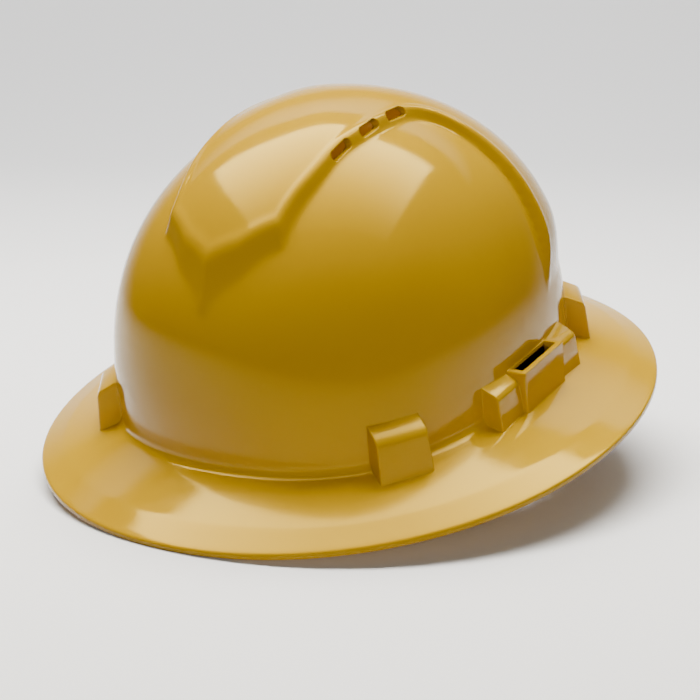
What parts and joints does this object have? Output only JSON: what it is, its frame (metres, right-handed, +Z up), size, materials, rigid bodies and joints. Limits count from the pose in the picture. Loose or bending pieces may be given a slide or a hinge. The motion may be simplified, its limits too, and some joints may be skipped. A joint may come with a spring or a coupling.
{
  "type": "full brim hard hat",
  "caption": "Full brim safety helmet with a raised vented crown ridge, accessory slots and an adjustable ratchet suspension.",
  "frame": {"origin": "bottom centre of the bounding box, on the surface the hat stands on", "axes": "-Y is the hat's front, +X the wearer's left, +Z up; the hat stands on the front of its brim and the feet of its nape cradle"},
  "size_m": [0.28, 0.3021, 0.1791],
  "materials": {
    "shell": "glossy moulded yellow thermoplastic",
    "headband": "satin black moulded nylon",
    "brow_pad": "black terry sweatband over foam",
    "webbing": "woven black webbing",
    "crown_pad": "soft black foam-backed fabric",
    "nape_arms": "satin black moulded nylon",
    "pins": "black acetal",
    "nape_unit": "satin black moulded nylon",
    "nape_pad": "black terry over foam",
    "screws": "plated steel",
    "pinion": "natural acetal",
    "knob": "satin black, scalloped grip",
    "click_spring": "natural acetal",
    "keys": "satin black moulded nylon"
  },
  "bodies": {
    "shell": {"shell": "shell", "key_front_left": "keys", "key_front_right": "keys", "key_rear_left": "keys", "key_rear_right": "keys", "crown_strap_lower": "webbing", "crown_strap_upper": "webbing", "crown_pad": "crown_pad"},
    "headband": {"headband": "headband", "brow_pad": "brow_pad", "pivot_pin_left": "pins", "pivot_pin_right": "pins"},
    "nape_unit": {"nape_cradle": "nape_unit", "ratchet_housing": "nape_unit", "housing_screws": "screws", "nape_pad": "nape_pad"},
    "knob": {"knob": "knob", "pinion": "pinion", "click_spring": "click_spring", "knob_screw": "screws"},
    "arm_left": {"arm_left": "nape_arms"},
    "arm_right": {"arm_right": "nape_arms"}
  },
  "joints": [
    {"name": "headband_height", "type": "slide", "parent": "shell", "child": "headband", "axis": [0, -0.2025, 0.9793], "range_m": [-0.01, 0]},
    {"name": "nape_swing", "type": "hinge", "parent": "headband", "child": "nape_unit", "pos_m": [0, 0.02304, 0.04447], "axis": [1, 0, 0], "range_deg": [-35, 0]},
    {"name": "knob_turn", "type": "hinge", "parent": "nape_unit", "child": "knob", "pos_m": [0, 0.09992, 0.02196], "axis": [0, 0.9597, -0.281], "range_deg": [-90, 90]},
    {"name": "arm_left_draw", "type": "hinge", "parent": "nape_unit", "child": "arm_left", "pos_m": [0, 0.02304, 0.04447], "axis": [0, 0.281, 0.9597], "range_deg": [-5.54, 5.54]},
    {"name": "arm_right_draw", "type": "hinge", "parent": "nape_unit", "child": "arm_right", "pos_m": [0, 0.02304, 0.04447], "axis": [0, 0.281, 0.9597], "range_deg": [-5.39, 5.39]}
  ],
  "couplings": [
    {"joint": "arm_left_draw", "follows": "knob_turn", "ratio": -0.061425},
    {"joint": "arm_right_draw", "follows": "knob_turn", "ratio": 0.059809}
  ]
}
